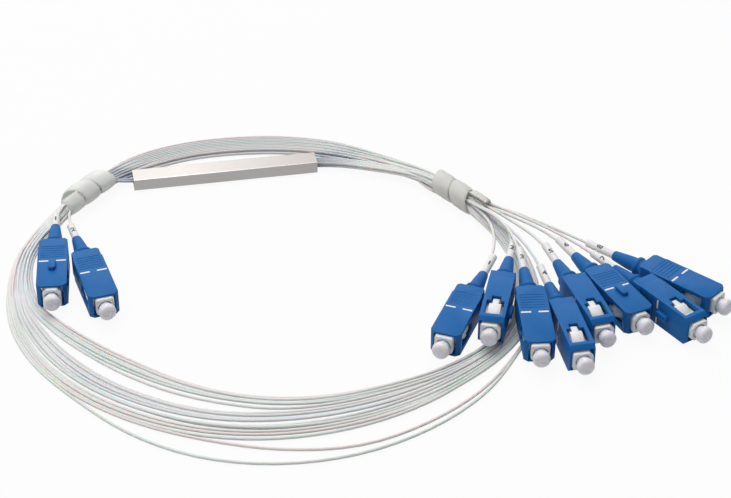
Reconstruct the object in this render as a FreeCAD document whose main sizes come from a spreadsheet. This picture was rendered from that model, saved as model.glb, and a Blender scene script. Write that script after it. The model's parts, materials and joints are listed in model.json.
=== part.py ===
"""A 2 by 8 planar fibre splitter in a small steel tube, with ten 0.9 mm pigtails laid in one coil.

Millimetres, +Z up. The origin is the middle of the steel tube's underside, +X runs along the tube
towards its eight outputs, and the coil and the connectors lie on the plane z = 0 at -Y.
"""

import FreeCAD, Part

import math
import os
import re

import Sketcher

Vector = FreeCAD.Vector
Placement = FreeCAD.Placement
Rotation = FreeCAD.Rotation

# Driving dimensions. A connector's own frame has +X forward along the ferrule, +Z towards the key,
# and x = 0 just behind the grip's front face, so sizes called "back" are counted the other way.
SIZES = {
    "tube_length": 60.0,
    "tube_width": 7.0,
    "tube_height": 4.0,
    "tube_wall": 0.4,
    "tube_edge": 0.5,
    "seal_depth": 3.0,
    "chip_length": 14.0,
    "chip_width": 3.6,
    "chip_height": 2.2,
    "array_length": 8.0,
    "input_array_width": 2.4,
    "ribbon_height": 0.4,
    "grip_width": 9.0,
    "grip_height": 7.4,
    "grip_front": 0.5,
    "grip_back": 24.7,
    "nose_chamfer": 1.2,
    "edge_chamfer": 0.5,
    "lip_length": 4.0,
    "lip_step": 0.25,
    "tail_chamfer": 0.8,
    "rear_wall": 1.5,
    "cavity_width": 6.6,
    "cavity_height": 6.0,
    "boot_hole": 2.95,
    "window_front_back": 2.0,
    "window_step_back": 8.5,
    "window_end_back": 10.8,
    "window_wide": 5.2,
    "window_narrow": 2.7,
    "key_front_back": 7.5,
    "key_end_back": 12.0,
    "key_width": 2.15,
    "key_height": 1.2,
    "groove_depth": 0.3,
    "groove_width": 0.45,
    "groove_span": 7.2,
    "groove_pitch": 1.15,
    "groove_first_back": 14.0,
    "frame_width": 5.4,
    "frame_height": 5.9,
    "frame_chamfer": 0.6,
    "frame_front": 1.6,
    "frame_back": 21.0,
    "mouth_radius": 2.2,
    "mouth_back": 6.5,
    "web_back": 7.5,
    "well_radius": 2.3,
    "well_back": 13.0,
    "latch_front_back": 3.9,
    "latch_top_back": 6.4,
    "latch_end_back": 7.9,
    "latch_reach": 3.9,
    "latch_height": 4.4,
    "ferrule_radius": 1.25,
    "ferrule_front": 1.9,
    "ferrule_bevel": 0.25,
    "flange_radius": 2.1,
    "flange_front_back": 7.6,
    "flange_end_back": 9.8,
    "slide_gap": 0.05,
    "cap_neck_radius": 1.95,
    "cap_head_radius": 2.45,
    "cap_neck_back": 4.9,
    "cap_bore_front": 2.6,
    "cap_head_start": 2.9,
    "cap_head_front": 5.2,
    "cap_round": 0.6,
    "boot_radius": 2.7,
    "boot_ring_radius": 3.1,
    "boot_ring_back": 26.6,
    "boot_ring_length": 1.2,
    "boot_neck_radius": 2.3,
    "boot_tip_radius": 1.45,
    "boot_tip_back": 36.4,
    "sleeve_radius": 1.2,
    "sleeve_bore": 0.85,
    "fibre_radius": 0.45,
    "wrap_bore": 3.5,
    "wrap_low_radius": 3.95,
    "wrap_high_radius": 4.35,
    "wrap_gap": 1.6,
    "bore_growth": 1.0196,
}

# Each connector: the point of its axis at x = 0 seen from above, the height of the grip's lowest
# front edge over the floor, the heading of the cap, how far the nose dips, and where the key points.
CONNECTORS = {
    "in_1": (-59.6, -63.8, 1.2, -95.0, 0.0, "up"),
    "in_2": (-44.8, -71.5, 1.25, -81.0, 0.0, "down"),
    "out_1": (49.3, -108.3, 1.25, -121.0, 0.0, "down"),
    "out_2": (63.1, -106.9, 2.1, -112.2, 0.0, "left"),
    "out_3": (74.9, -117.4, 1.75, -97.0, 4.0, "down"),
    "out_4": (85.9, -122.4, 0.3, -90.0, 0.0, "left"),
    "out_5": (95.2, -111.2, 0.3, -84.0, 0.0, "left"),
    "out_6": (107.2, -107.5, 1.0, -75.0, 0.0, "up"),
    "out_7": (122.0, -114.7, 0.3, -66.5, 0.0, "right"),
    "out_8": (131.6, -103.4, 1.25, -52.5, 0.0, "down"),
}
KEY_ROLL = {"up": 0.0, "left": -90.0, "right": 90.0, "down": 180.0}

# Each pigtail's free stretch: the points of its route from inside the spiral wrap, the length of
# its last straight run into the boot, and the length of its label sleeve.
PIGTAILS = {
    "in_1": ([(-48.2, -10.3, 4.9)], 10.0, 6.5),
    "in_2": ([(-45.9, -9.3, 3.6), (-51.6, -16.6, 4.2)], 9.5, 8.0),
    "out_1": ([(74.1, -39.3, 4.8), (77.2, -51.8, 5.6)], 12.0, 10.0),
    "out_2": ([(74.6, -39.0, 5.9), (79.5, -50.5, 6.4)], 11.5, 10.0),
    "out_3": ([(73.6, -39.5, 5.8), (79.4, -53.6, 8.4)], 12.0, 10.0),
    "out_4": ([(75.1, -38.7, 4.8), (80.2, -50.0, 5.2), (84.2, -61.8, 5.0)], 12.0, 10.0),
    "out_5": ([(75.6, -38.5, 5.8), (83.0, -50.3, 5.5)], 12.0, 10.0),
    "out_6": ([(76.0, -38.2, 4.7), (85.6, -49.0, 4.9)], 12.0, 10.0),
    "out_7": ([(76.6, -37.9, 5.7), (85.8, -47.6, 5.4), (95.0, -58.1, 5.0)], 12.0, 10.0),
    "out_8": ([(77.0, -37.7, 4.6), (86.4, -46.1, 4.8), (94.7, -55.7, 4.9)], 11.8, 10.0),
}
ARC_SHARE = 0.45

# Round pieces are turned with this many flats, to keep their faces few.
ROUND_SIDES = 16
SMALL_SIDES = 12

# The coil's outer shape: the angle round its middle in degrees, then the inner and the outer
# radius, the height and the underside there. It is round and tight inside the two spiral wraps,
# and spread flat at the front.
COIL_MIDDLE = (4.0, -60.0)
COIL_SECTIONS = [
    (90, 73.0, 78.5, 4.4, 0.05),
    (75, 72.6, 78.0, 4.4, 0.05),
    (62, 72.3, 77.9, 4.4, 0.05),
    (48, 71.0, 76.5, 4.8, 0.3),
    (34, 70.3, 75.9, 5.5, 0.9),
    (24.5, 70.0, 75.6, 5.5, 0.9),
    (15, 71.8, 77.4, 5.5, 0.9),
    (3, 74.0, 81.6, 3.7, 0.05),
    (-10, 76.4, 84.6, 2.6, 0.05),
    (-24, 77.0, 84.9, 1.9, 0.05),
    (-38, 75.4, 84.4, 1.75, 0.05),
    (-50, 71.4, 84.2, 1.75, 0.05),
    (-65, 66.0, 84.6, 1.75, 0.05),
    (-80, 61.8, 85.0, 1.75, 0.05),
    (-95, 58.8, 84.8, 1.75, 0.05),
    (-110, 57.2, 83.4, 1.75, 0.05),
    (-125, 56.0, 81.4, 1.75, 0.05),
    (-140, 55.6, 78.8, 1.75, 0.05),
    (-154, 58.6, 77.2, 1.75, 0.05),
    (-166, 64.4, 76.8, 1.8, 0.05),
    (-177, 68.8, 77.4, 2.1, 0.05),
    (-190, 69.8, 78.4, 2.6, 0.05),
    (-202, 70.6, 78.6, 2.8, 0.05),
    (-211, 71.9, 77.0, 3.5, 0.3),
    (-218.5, 69.8, 75.0, 5.2, 0.9),
    (-227, 69.8, 75.0, 5.2, 0.9),
    (-236, 71.2, 76.4, 5.2, 0.9),
    (-244, 73.5, 78.7, 4.8, 0.3),
    (-257, 74.2, 79.7, 4.4, 0.05),
]
# The fibres between the steel tube's ends and the coil: the route and the bundle's radius.
LEAD_IN = ([(-30.0, 0.0, 2.0), (-35.6, -0.5, 2.5), (-41.0, -3.0, 3.5)], 0.9)
LEAD_OUT = ([(30.0, 0.0, 2.0), (41.0, -3.2, 2.3), (51.0, -8.8, 2.9), (60.0, -15.0, 3.5),
             (67.0, -24.0, 3.65)], 1.55)

# The spiral wraps: where each starts and ends on the coil's line, and its number of turns.
WRAPS = {
    "left_wrap": ((-38.6, 0.3), (-52.8, -15.0), 3),
    "right_wrap": ((64.5, -19.0), (76.0, -40.5), 3),
}

doc = FreeCAD.newDocument("fibre_splitter")
sheet = doc.addObject("Spreadsheet::Sheet", "Sizes")
for row, (alias, value) in enumerate(SIZES.items(), start=1):
    sheet.set(f"A{row}", alias)
    sheet.set(f"B{row}", str(value))
    sheet.setAlias(f"B{row}", alias)
doc.recompute()

nodes = []


def bound(formula):
    """The formula with every alias of the sheet written in full."""
    return re.sub(r"[a-z_]+", lambda word: f"Sizes.{word[0]}" if word[0] in SIZES else word[0], formula)


def size(formula):
    """The formula's value now, in millimetres."""
    return float(sheet.evalExpression(bound(formula)))


def node(piece, label, placement=Placement()):
    """Names a finished piece, seats it and keeps it for writing."""
    piece.Label = label
    piece.Placement = placement
    nodes.append(piece)


def origin_feature(body, role):
    """One of the body's own origin planes or axes."""
    return next(f for f in body.Origin.OriginFeatures if f.Role == role)


def sketch_on(body, role, name, offset=None):
    """An empty sketch on one of the body's planes, moved along its normal if asked."""
    sketch = body.newObject("Sketcher::SketchObject", name)
    sketch.AttachmentSupport = (origin_feature(body, role), [""])
    sketch.MapMode = "FlatFace"
    if offset:
        sketch.setExpression("AttachmentOffset.Base.z", bound(offset))
    return sketch


def add_polygon(sketch, corners):
    """A closed outline whose corners are pairs of formulas, each bound to the sheet."""
    first = sketch.GeometryCount
    spots = [Vector(size(x), size(y), 0) for x, y in corners]
    count = len(spots)
    for index, spot in enumerate(spots):
        sketch.addGeometry(Part.LineSegment(spot, spots[(index + 1) % count]))
    for index in range(count):
        following = first + (index + 1) % count
        sketch.addConstraint(Sketcher.Constraint("Coincident", first + index, 2, following, 1))
    for index, (corner, spot) in enumerate(zip(corners, spots)):
        for kind, axis, formula, value in zip(("DistanceX", "DistanceY"), (-2, -1), corner, spot):
            if formula == "0":
                sketch.addConstraint(Sketcher.Constraint("PointOnObject", first + index, 1, axis))
                continue
            rule = sketch.addConstraint(Sketcher.Constraint(kind, -1, 1, first + index, 1, value))
            sketch.setExpression(f"Constraints[{rule}]", bound(formula))


def add_rectangle(sketch, width, height):
    """A rectangle about the sketch's origin."""
    x, y = f"({width}) / 2", f"({height}) / 2"
    add_polygon(sketch, [(f"-{x}", f"-{y}"), (x, f"-{y}"), (x, y), (f"-{x}", y)])


def add_round(sketch, radius):
    """A many-sided round about the sketch's origin."""
    turns = [360 * (index + 0.5) / ROUND_SIDES for index in range(ROUND_SIDES)]
    add_polygon(sketch, [(f"{radius} * cos({turn} deg)", f"{radius} * sin({turn} deg)") for turn in turns])


def extrude(body, kind, sketch, length=None, both_ways=False, backwards=False):
    """A Pad or a Pocket of the sketch. With no length a pocket cuts right through."""
    before = body.Shape.Volume if body.Tip else 0.0
    feature = body.newObject(f"PartDesign::{kind}", f"{kind}_{sketch.Name}")
    feature.Profile = sketch
    feature.SideType = "Symmetric" if both_ways else "One side"
    feature.Reversed = backwards
    if length:
        feature.setExpression("Length", bound(length))
    else:
        feature.Type = "ThroughAll"
    doc.recompute()
    gained = body.Shape.Volume - before
    if (gained > 0) != (kind == "Pad"):
        raise RuntimeError(f"{feature.Name} changes the volume by {gained:.3f}")
    return feature


def ring_points(x, radius, sides):
    """The corners of a regular polygon about the X axis."""
    turns = [2 * math.pi * (index + 0.5) / sides for index in range(sides)]
    return [Vector(x, radius * math.cos(turn), radius * math.sin(turn)) for turn in turns]


def closed_solid(faces):
    """A solid from faces that meet edge to edge."""
    skin = Part.Shell(faces)
    skin.sewShape()
    solid = Part.Solid(skin)
    if solid.Volume < 0:
        solid.reverse()
    return solid


def flat_face(corners):
    return Part.Face(Part.makePolygon(corners + corners[:1]))


def turned_solid(profile, sides):
    """A many-sided turning about X, from corners given as formulas for x and radius."""
    stations = [(size(x), size(radius)) for x, radius in profile]
    rings = [ring_points(x, radius, sides) if radius > 0 else None for x, radius in stations]
    faces = []
    for here, there in zip(rings, rings[1:] + rings[:1]):
        if here and there:
            for index in range(sides):
                after = (index + 1) % sides
                faces.append(flat_face([here[index], here[after], there[after], there[index]]))
        elif here or there:
            faces.append(flat_face(here or there))
    return closed_solid(faces).removeSplitter()


def turned_piece(name, profile, sides=ROUND_SIDES):
    """A turned piece in its own frame."""
    piece = doc.addObject("Part::Feature", name)
    piece.Shape = turned_solid(profile, sides)
    return piece


def dress(body, kind, amount, formula, length):
    """Rounds or bevels every edge of the given length."""
    solid = body.Tip
    edges = [f"Edge{index}" for index, edge in enumerate(solid.Shape.Edges, start=1)
             if abs(edge.Length - length) < 0.01]
    feature = body.newObject(f"PartDesign::{kind}", f"{kind}_{body.Name}")
    feature.Base = (solid, edges)
    feature.setExpression(amount, bound(formula))
    doc.recompute()
    if "Invalid" in feature.State:
        raise RuntimeError(f"{feature.Name} failed")


def connector_placement(name):
    """Where a connector's own frame sits."""
    x, y, rise, heading, dip, key = CONNECTORS[name]
    half = size("grip_height" if key in ("up", "down") else "grip_width") / 2
    lean = math.radians(dip)
    height = rise + half * math.cos(lean) + size("grip_front") * math.sin(lean)
    return Placement(Vector(x, y, height), Rotation(heading, dip, KEY_ROLL[key]))


def make_tube():
    """The steel tube: a square-edged sleeve with rounded long edges."""
    body = doc.addObject("PartDesign::Body", "tube")
    outside = sketch_on(body, "YZ_Plane", "tube_outside")
    add_rectangle(outside, "tube_width", "tube_height")
    extrude(body, "Pad", outside, "tube_length", both_ways=True)
    dress(body, "Fillet", "Radius", "tube_edge", size("tube_length"))
    inside = sketch_on(body, "YZ_Plane", "tube_inside")
    add_rectangle(inside, "tube_width - 2 * tube_wall", "tube_height - 2 * tube_wall")
    extrude(body, "Pocket", inside, both_ways=True)
    node(body, "module_tube", Placement(Vector(0, 0, size("tube_height / 2")), Rotation()))


def make_seal(label, side):
    """A soft plug that fills one end of the tube."""
    body = doc.addObject("PartDesign::Body", label)
    face = sketch_on(body, "YZ_Plane", f"{label}_face")
    add_rectangle(face, "tube_width - 2 * tube_wall", "tube_height - 2 * tube_wall")
    extrude(body, "Pad", face, "seal_depth", both_ways=True)
    along = side * size("(tube_length - seal_depth) / 2")
    node(body, label, Placement(Vector(along, 0, size("tube_height / 2")), Rotation()))


def make_box(label, centre, length, width, height):
    """A block on the tube's inner floor, centred at a formula for x."""
    block = doc.addObject("Part::Box", label)
    block.setExpression("Length", bound(length))
    block.setExpression("Width", bound(width))
    block.setExpression("Height", bound(height))
    corner = Vector(size(f"{centre} - ({length}) / 2"), -size(f"({width}) / 2"), size("tube_wall"))
    block.Placement = Placement(corner, Rotation())
    return block


def make_optics():
    """The splitter chip, and the two glass arrays with their ribbons that run to the seals."""
    chip = make_box("chip", "0", "chip_length", "chip_width", "chip_height")
    node(chip, "plc_chip", chip.Placement)
    middle = "(chip_length + array_length) / 2"
    ribbon = "tube_length / 2 - seal_depth - chip_length / 2 - array_length"
    ribbon_middle = f"chip_length / 2 + array_length + ({ribbon}) / 2"
    pieces = []
    for side, sign, width in (("input", "-", "input_array_width"), ("output", "", "chip_width")):
        block = make_box(f"{side}_block", f"{sign}({middle})", "array_length", width, "chip_height")
        tape = make_box(f"{side}_ribbon", f"{sign}({ribbon_middle})", ribbon,
                        f"{width} / 2", "ribbon_height")
        pair = doc.addObject("Part::Fuse", f"{side}_array")
        pair.Base, pair.Tool = block, tape
        pieces.append(pair)
    arrays = doc.addObject("Part::Compound", "arrays")
    arrays.Links = pieces
    node(arrays, "fibre_arrays")


def make_grip(name):
    """The blue outer housing that slides on the plug frame, with key, windows and grip grooves."""
    body = doc.addObject("PartDesign::Body", f"grip_{name}")
    plan = sketch_on(body, "XY_Plane", f"grip_plan_{name}")
    half, lip = "grip_width / 2", "grip_width / 2 - lip_step"
    side = [("grip_front", f"{half} - nose_chamfer"),
            ("grip_front - nose_chamfer", half),
            ("lip_length - grip_back + lip_step", half),
            ("lip_length - grip_back", lip),
            ("tail_chamfer - grip_back", lip),
            ("-grip_back", f"{lip} - tail_chamfer")]
    add_polygon(plan, side + [(x, f"-({y})") for x, y in reversed(side)])
    extrude(body, "Pad", plan, "grip_height", both_ways=True)
    straight = size("grip_front - nose_chamfer - (lip_length - grip_back + lip_step)")
    dress(body, "Chamfer", "Size", "edge_chamfer", straight)

    cavity = sketch_on(body, "YZ_Plane", f"grip_cavity_{name}", "grip_front")
    add_rectangle(cavity, "cavity_width", "cavity_height")
    extrude(body, "Pocket", cavity, "grip_front + grip_back - rear_wall")
    hole = sketch_on(body, "YZ_Plane", f"grip_hole_{name}", "grip_front")
    add_round(hole, "boot_hole")
    extrude(body, "Pocket", hole)

    window = sketch_on(body, "XZ_Plane", f"grip_window_{name}")
    wide, narrow = "window_wide / 2", "window_narrow / 2"
    upper = [("-window_front_back", wide), ("-window_step_back", wide),
             ("-window_step_back", narrow), ("-window_end_back", narrow)]
    add_polygon(window, upper + [(x, f"-{z}") for x, z in reversed(upper)])
    extrude(body, "Pocket", window, both_ways=True)

    key = sketch_on(body, "XY_Plane", f"grip_key_{name}", "grip_height / 2")
    nose = "key_width / 4"
    flank = [("-key_front_back", nose), (f"-key_front_back - {nose}", "key_width / 2"),
             ("-key_end_back", "key_width / 2")]
    add_polygon(key, flank + [(x, f"-{y}") for x, y in reversed(flank)])
    extrude(body, "Pad", key, "key_height")

    groove = sketch_on(body, "XZ_Plane", f"grip_groove_{name}")
    near, far = "-groove_first_back", "-groove_first_back - groove_width"
    deep, top = "grip_height / 2 - groove_depth", "grip_height / 2"
    for sign in ("", "-"):
        inner, outer = f"{sign}({deep})", f"{sign}({top})"
        add_polygon(groove, [(near, inner), (far, inner), (far, outer), (near, outer)])
    cut = extrude(body, "Pocket", groove, "groove_span", both_ways=True)
    rows = body.newObject("PartDesign::LinearPattern", f"grip_rows_{name}")
    rows.Originals = [cut]
    rows.Direction = (origin_feature(body, "X_Axis"), [""])
    rows.Reversed = True
    rows.Mode = "Spacing"
    rows.setExpression("Offset", bound("groove_pitch"))
    rows.Occurrences = 6
    body.Tip = rows
    node(body, f"grip_{name}", connector_placement(name))


def make_frame(name):
    """The white plug frame: an eight-sided bar with a stepped bore and two latch ramps."""
    body = doc.addObject("PartDesign::Body", f"frame_{name}")
    section = sketch_on(body, "YZ_Plane", f"frame_section_{name}", "-frame_back")
    y, z, cut = "frame_width / 2", "frame_height / 2", "frame_chamfer"
    quarter = [(y, f"{z} - {cut}"), (f"{y} - {cut}", z)]
    left = [(f"-({a})", b) for a, b in reversed(quarter)]
    top = quarter + left
    add_polygon(section, top + [(a, f"-({b})") for a, b in reversed(top)])
    extrude(body, "Pad", section, "frame_back + frame_front")
    ramps = sketch_on(body, "XY_Plane", f"frame_latches_{name}")
    root = "frame_width / 2 - slide_gap"
    for sign in ("", "-"):
        add_polygon(ramps, [("-latch_front_back", f"{sign}({root})"),
                            ("-latch_top_back", f"{sign}latch_reach"),
                            ("-latch_end_back", f"{sign}latch_reach"),
                            ("-latch_end_back", f"{sign}({root})")])
    extrude(body, "Pad", ramps, "latch_height", both_ways=True)
    hole = "(ferrule_radius + slide_gap) * bore_growth"
    mouth, well = "mouth_radius * bore_growth", "well_radius * bore_growth"
    bore = turned_piece(f"frame_bore_{name}", [
        ("frame_front + 1", "0"), ("frame_front + 1", mouth), ("-mouth_back", mouth),
        ("-mouth_back", hole), ("-web_back", hole), ("-web_back", well), ("-well_back", well),
        ("-well_back", "0")])
    bored = doc.addObject("Part::Cut", f"frame_bored_{name}")
    bored.Base, bored.Tool = body, bore
    node(bored, f"plug_frame_{name}", connector_placement(name))


def make_ferrule(name):
    """The ceramic ferrule with its flange."""
    piece = turned_piece(f"ferrule_{name}", [
        ("ferrule_front", "0"), ("ferrule_front", "ferrule_radius - ferrule_bevel"),
        ("ferrule_front - ferrule_bevel", "ferrule_radius"),
        ("-flange_front_back", "ferrule_radius"), ("-flange_front_back", "flange_radius"),
        ("-flange_end_back", "flange_radius"), ("-flange_end_back", "0")])
    node(piece, f"ferrule_{name}", connector_placement(name))


def make_cap(name):
    """The dust cap: a neck that slips over the ferrule and a wider round head."""
    bore = "(ferrule_radius + slide_gap) * bore_growth"
    piece = turned_piece(f"cap_{name}", [
        ("cap_bore_front", "0"), ("cap_bore_front", bore), ("-cap_neck_back", bore),
        ("-cap_neck_back", "cap_neck_radius"), ("cap_head_start", "cap_neck_radius"),
        ("cap_head_start", "cap_head_radius"), ("cap_head_front - cap_round", "cap_head_radius"),
        ("cap_head_front", "cap_head_radius - cap_round"), ("cap_head_front", "0")])
    node(piece, f"dust_cap_{name}", connector_placement(name))


def make_boot(name):
    """The tapered boot, from the plug frame's back end to its tip."""
    piece = turned_piece(f"boot_{name}", [
        ("-frame_back", "0"), ("-frame_back", "boot_radius"), ("-boot_ring_back", "boot_radius"),
        ("-boot_ring_back", "boot_ring_radius"),
        ("-boot_ring_back - boot_ring_length", "boot_ring_radius"),
        ("-boot_ring_back - boot_ring_length", "boot_neck_radius"),
        ("-boot_tip_back", "boot_tip_radius"), ("-boot_tip_back", "0")], SMALL_SIDES)
    piece.Placement = connector_placement(name)
    return piece


def make_sleeve(name):
    """The label sleeve on the fibre, against the boot's tip."""
    length = PIGTAILS[name][2]
    piece = turned_piece(f"sleeve_{name}", [
        ("-boot_tip_back", "sleeve_bore"), ("-boot_tip_back", "sleeve_radius"),
        (f"-boot_tip_back - {length}", "sleeve_radius"), (f"-boot_tip_back - {length}", "sleeve_bore")],
        SMALL_SIDES)
    piece.Placement = connector_placement(name)
    return piece


def group(label, pieces):
    """Like pieces that share one node as separate solids."""
    together = doc.addObject("Part::Compound", f"all_{label}")
    together.Links = pieces
    node(together, label)


def rounded_route(points):
    """Straight runs joined by tangent arcs, each as large as its two runs allow, and the radii."""
    edges, radii, start = [], [], points[0]
    for before, corner, after in zip(points, points[1:], points[2:]):
        back, on = before - corner, after - corner
        half_turn = (math.pi - back.getAngle(on)) / 2
        reach = ARC_SHARE * min(back.Length, on.Length)
        radius = reach / math.tan(half_turn)
        enter = corner + back.normalize() * reach
        leave = corner + on.normalize() * reach
        to_middle = (back + on).normalize()
        middle = corner + to_middle * (radius / math.cos(half_turn) - radius)
        edges += [Part.LineSegment(start, enter).toShape(), Part.Arc(enter, middle, leave).toShape()]
        radii.append(radius)
        start = leave
    edges.append(Part.LineSegment(start, points[-1]).toShape())
    return Part.Wire(edges), radii


def round_tube(label, points, radius):
    """A round solid along the rounded route, with its volume compared with section times length."""
    wire, radii = rounded_route(points)
    turn = 2 * math.pi / SMALL_SIDES
    corners = ring_points(0, radius * math.sqrt(turn / math.sin(turn)), SMALL_SIDES)
    ring = flat_face(corners)
    ring.Placement = Placement(points[0], Rotation(Vector(1, 0, 0), points[1] - points[0]))
    solid = wire.makePipe(ring)
    expected = math.pi * radius**2 * wire.Length
    print(f"{label}: {wire.Length:.1f} mm, radii {[round(r, 1) for r in radii]},",
          f"volume {solid.Volume:.2f} of {expected:.2f}")
    if abs(solid.Volume / expected - 1) > 0.01:
        raise RuntimeError(f"{label} has the wrong volume")
    return solid


def pigtail_route(name):
    """The whole free stretch of one pigtail, into the boot's tip."""
    points, last_run, _ = PIGTAILS[name]
    seat = connector_placement(name)
    tip = size("boot_tip_back")
    return [Vector(*p) for p in points] + [seat.multVec(Vector(-tip - last_run, 0, 0)),
                                           seat.multVec(Vector(-tip, 0, 0))]


def make_pigtail(name):
    """The 0.9 mm fibre between its spiral wrap and its boot."""
    feature = doc.addObject("Part::Feature", f"pigtail_{name}")
    feature.Shape = round_tube(f"fibre_{name}", pigtail_route(name), size("fibre_radius"))
    node(feature, f"fibre_{name}")


def coil_oval(angle, inner, outer, height, under):
    """The corners of the coil's oval outline at one angle, square to its run."""
    turn = math.radians(angle)
    out = Vector(math.cos(turn), math.sin(turn), 0)
    centre = Vector(*COIL_MIDDLE, under + height / 2) + out * (inner + outer) / 2
    wide, tall = (outer - inner) / 2, height / 2
    return [centre + out * wide * point.y + Vector(0, 0, tall * point.z)
            for point in ring_points(0, 1, SMALL_SIDES)]


def make_coil():
    """The laid coil of all ten fibres, with the leads from the tube's two ends."""
    ovals = [coil_oval(*row) for row in COIL_SECTIONS]
    faces = []
    for here, there in zip(ovals, ovals[1:] + ovals[:1]):
        for index in range(SMALL_SIDES):
            after = (index + 1) % SMALL_SIDES
            faces.append(flat_face([here[index], here[after], there[index]]))
            faces.append(flat_face([here[after], there[after], there[index]]))
    ring = closed_solid(faces)
    leads = []
    for name, (points, radius) in (("lead_in", LEAD_IN), ("lead_out", LEAD_OUT)):
        leads.append(round_tube(name, [Vector(*p) for p in points], radius))
    coil = doc.addObject("Part::Feature", "coil")
    coil.Shape = ring.fuse(leads)
    node(coil, "fibre_coil")


def make_wrap(label):
    """A spiral wrap round the bundle: raised turns with a thinner gap after each but the last."""
    start, end, turns = WRAPS[label]
    start, end = (Vector(*spot, size("wrap_high_radius")) for spot in (start, end))
    length = (end - start).Length
    pitch = (length + size("wrap_gap")) / turns
    outside = []
    for turn in range(turns):
        near, far = f"{turn * pitch}", f"{(turn + 1) * pitch} - wrap_gap"
        outside += [(near, "wrap_high_radius"), (far, "wrap_high_radius"), (far, "wrap_low_radius"),
                    (f"{(turn + 1) * pitch}", "wrap_low_radius")]
    inside = [(f"{length}", "wrap_bore"), ("0", "wrap_bore")]
    piece = turned_piece(label, outside[:-2] + inside)
    heading = math.degrees(math.atan2(end.y - start.y, end.x - start.x))
    node(piece, label, Placement(start, Rotation(heading, 0, 0)))


def check(piece):
    """Stops on a failed feature or a broken shape."""
    shape = piece.Shape
    if "Invalid" in piece.State or "Error" in piece.State:
        raise RuntimeError(f"{piece.Label} failed: {piece.State}")
    if shape.isNull() or not shape.isValid() or not shape.Solids:
        raise RuntimeError(f"{piece.Label} has a broken shape")


make_tube()
make_seal("input_seal", -1)
make_seal("output_seal", 1)
make_optics()
for connector in CONNECTORS:
    make_grip(connector)
    make_frame(connector)
    make_ferrule(connector)
    make_cap(connector)
    make_pigtail(connector)
group("boots", [make_boot(connector) for connector in CONNECTORS])
group("label_sleeves", [make_sleeve(connector) for connector in CONNECTORS])
make_coil()
for wrap in WRAPS:
    make_wrap(wrap)
doc.recompute()

for item in doc.Objects:
    if "Invalid" in item.State or "Error" in item.State:
        raise RuntimeError(f"{item.Name} failed: {item.State}")
for item in nodes:
    check(item)
os.makedirs("parts", exist_ok=True)
for item in nodes:
    item.Shape.exportStep(f"parts/{item.Label}.step")
print(f"{len(nodes)} nodes written")
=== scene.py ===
"""A planar fibre splitter with ten coiled pigtails: its soft parts, mouldings, finishes and studio."""

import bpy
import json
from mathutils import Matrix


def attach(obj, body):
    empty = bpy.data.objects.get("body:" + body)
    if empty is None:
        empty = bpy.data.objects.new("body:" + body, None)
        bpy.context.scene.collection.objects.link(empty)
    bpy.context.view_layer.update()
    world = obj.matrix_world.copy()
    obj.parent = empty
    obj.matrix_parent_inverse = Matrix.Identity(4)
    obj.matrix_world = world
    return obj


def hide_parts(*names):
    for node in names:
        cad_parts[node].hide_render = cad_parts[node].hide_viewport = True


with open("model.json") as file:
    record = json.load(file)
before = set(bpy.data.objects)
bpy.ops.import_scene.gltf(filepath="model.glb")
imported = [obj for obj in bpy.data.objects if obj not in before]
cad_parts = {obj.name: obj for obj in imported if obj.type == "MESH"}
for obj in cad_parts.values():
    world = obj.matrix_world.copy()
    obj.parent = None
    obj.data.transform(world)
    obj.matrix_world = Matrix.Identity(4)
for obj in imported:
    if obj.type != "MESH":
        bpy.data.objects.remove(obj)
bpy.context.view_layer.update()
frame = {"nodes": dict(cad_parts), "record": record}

import json
import math

import bmesh
import bpy
from mathutils import Matrix, Vector

MM = 0.001

# ------------------------------------------------------------------ where things are, in mm

# Each connector: its axis at the grip's front face, heading, nose dip, and roll of the key side.
CONNECTORS = {
    "in_1": (-59.6, -63.8, 4.9, -95.0, 0.0, 0.0),
    "in_2": (-44.8, -71.5, 4.95, -81.0, 0.0, 180.0),
    "out_1": (49.3, -108.3, 4.95, -121.0, 0.0, 180.0),
    "out_2": (63.1, -106.9, 6.6, -112.2, 0.0, -90.0),
    "out_3": (74.9, -117.4, 5.476, -97.0, 4.0, 180.0),
    "out_4": (85.9, -122.4, 4.8, -90.0, 0.0, -90.0),
    "out_5": (95.2, -111.2, 4.8, -84.0, 0.0, -90.0),
    "out_6": (107.2, -107.5, 4.7, -75.0, 0.0, 0.0),
    "out_7": (122.0, -114.7, 4.8, -66.5, 0.0, 90.0),
    "out_8": (131.6, -103.4, 4.95, -52.5, 0.0, 180.0),
}

# Each pigtail's free stretch from its spiral wrap, the run into the boot, and the sleeve's length.
PIGTAILS = {
    "in_1": ([(-48.2, -10.3, 4.9)], 10.0, 6.5),
    "in_2": ([(-45.9, -9.3, 3.6), (-51.6, -16.6, 4.2)], 9.5, 8.0),
    "out_1": ([(74.1, -39.3, 4.8), (77.2, -51.8, 5.6)], 12.0, 10.0),
    "out_2": ([(74.6, -39.0, 5.9), (79.5, -50.5, 6.4)], 11.5, 10.0),
    "out_3": ([(73.6, -39.5, 5.8), (79.4, -53.6, 8.4)], 12.0, 10.0),
    "out_4": ([(75.1, -38.7, 4.8), (80.2, -50.0, 5.2), (84.2, -61.8, 5.0)], 12.0, 10.0),
    "out_5": ([(75.6, -38.5, 5.8), (83.0, -50.3, 5.5)], 12.0, 10.0),
    "out_6": ([(76.0, -38.2, 4.7), (85.6, -49.0, 4.9)], 12.0, 10.0),
    "out_7": ([(76.6, -37.9, 5.7), (85.8, -47.6, 5.4), (95.0, -58.1, 5.0)], 12.0, 10.0),
    "out_8": ([(77.0, -37.7, 4.6), (86.4, -46.1, 4.8), (94.7, -55.7, 4.9)], 11.8, 10.0),
}
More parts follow.
